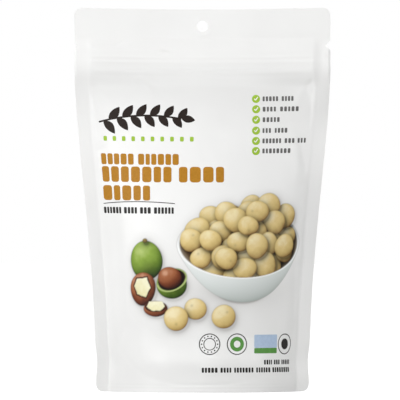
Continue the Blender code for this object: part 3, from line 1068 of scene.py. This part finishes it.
def printPicture():
    lowS, lowT = picture["low"]
    highS, highT = picture["high"]
    across = round((highS - lowS) / picture["step"])
    up = round((highT - lowT) / picture["step"])
    bm = bmesh.new()
    bmesh.ops.create_grid(bm, x_segments=across, y_segments=up, size=1)
    flat = np.array([vertex.co[:] for vertex in bm.verts])
    s = lowS + (flat[:, 0] + 1) / 2 * (highS - lowS)
    t = lowT + (flat[:, 1] + 1) / 2 * (highT - lowT)
    colour, cover = paintPicture(s, t)
    places = onFilm(frontFace, s, t, inkLift["under"])
    ink = bm.verts.layers.float_color.new("ink")
    for vertex, place, tone, share in zip(bm.verts, places, colour, cover):
        vertex.co = place
        vertex[ink] = (*(tone ** picture["contrast"]), share)
    bare = [face for face in bm.faces if all(vertex[ink][3] < 0.008 for vertex in face.verts)]
    bmesh.ops.delete(bm, geom=bare, context="FACES")
    thicken(addPiece("printedPicture", bm, makePictureMaterial()), inkLift["thick"])


printPicture()
print("printed picture made")


# the zipper and the nuts inside

for name in ("zipper_rib_strip", "zipper_groove_strip"):
    nodes[name].data.materials.clear()
    nodes[name].data.materials.append(makeZipperMaterial())

kernelMaterial = makeKernelMaterial()
for name in sorted(kernelNames):
    bm = bmesh.new()
    bm.from_mesh(nodes[name].data)
    bmesh.ops.remove_doubles(bm, verts=bm.verts, dist=1e-6)
    kernel = addPiece(name.replace("macadamia_", "") + "_smooth", bm, kernelMaterial)
    rounding = kernel.modifiers.new("rounding", "SUBSURF")
    rounding.levels = 2
    rounding.render_levels = 2
    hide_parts(name)
print("nuts made")


# the stage, the light and the camera

stage = {"radius": 12.0, "floor": "#8C8C8B", "patch": "#929291", "patchPerMetre": 3.0, "glow": 0.97}
camera = {"distance": 6.0, "frameWidth": 0.250, "sensor": 36.0, "across": -0.0015, "height": 0.11975}
lamps = {
    # the way each soft light stands from the front, its height, its distance, size and watts
    "key": (-60, 20, 1.5, 0.8, 14.0), "front": (0, 5, 1.5, 0.8, 5.3), "fill": (55, 5, 1.5, 0.8, 7.2),
    "back": (150, 35, 1.6, 1.0, 21.0),
}
skyStrength = 0.38


def makeStage():
    material, tree, shader, coords = newMaterial("matt white studio floor", {"Roughness": 0.9})
    cloud = objectNoise(tree, coords, stage["patchPerMetre"])
    colour = ramp(tree, cloud, ((0.0, stage["floor"]), (1.0, stage["patch"])))
    tree.links.new(colour, shader.inputs["Base Color"])
    # lit from under, as a light table is, for the camera alone: it throws little light back at the pouch
    seen = addNode(tree, "ShaderNodeLightPath").outputs["Is Camera Ray"]
    glow = addNode(tree, "ShaderNodeMath", {"operation": "MULTIPLY", 1: stage["glow"]}, {0: seen})
    shader.inputs["Emission Color"].default_value = (1, 1, 1, 1)
    tree.links.new(glow.outputs["Value"], shader.inputs["Emission Strength"])
    bm = bmesh.new()
    bmesh.ops.create_circle(bm, cap_ends=True, segments=64, radius=stage["radius"])
    bmesh.ops.translate(bm, verts=bm.verts, vec=(0, 0, -0.0002))
    floor = addMesh("studioFloor", bm, material)


def addLamp(name, turn, height, distance, size, watts):
    data = bpy.data.lights.new(name, "AREA")
    data.shape = "DISK"
    data.size = size
    data.energy = watts
    lamp = addObject(name, data)
    turn = math.radians(turn)
    height = math.radians(height)
    away = Vector((math.sin(turn) * math.cos(height), -math.cos(turn) * math.cos(height), math.sin(height)))
    lamp.location = Vector((0, 0, camera["height"])) + away * distance
    lamp.rotation_euler = away.to_track_quat("Z", "Y").to_euler()


def makeWorld():
    world = bpy.data.worlds.new("studio")
    world.use_nodes = True
    tree = world.node_tree
    back = tree.nodes["Background"]
    seen = addNode(tree, "ShaderNodeLightPath").outputs["Is Camera Ray"]
    shares = {"data_type": "FLOAT", 2: skyStrength, 3: 1.0}
    strength = addNode(tree, "ShaderNodeMix", shares, {0: seen})
    back.inputs["Color"].default_value = (1, 1, 1, 1)
    tree.links.new(strength.outputs[0], back.inputs["Strength"])
    bpy.context.scene.world = world


def makeCamera():
    data = bpy.data.cameras.new("camera")
    data.sensor_width = camera["sensor"]
    data.lens = camera["sensor"] * camera["distance"] / camera["frameWidth"]
    data.clip_end = 60
    view = addObject("camera", data)
    view.location = (camera["across"], -camera["distance"], camera["height"])
    view.rotation_euler = (math.pi / 2, 0, 0)
    bpy.context.scene.camera = view


makeStage()
makeWorld()
for lampName, settings in lamps.items():
    addLamp(lampName, *settings)
makeCamera()
bpy.context.scene.view_settings.view_transform = "Standard"
print("stage, light and camera set")
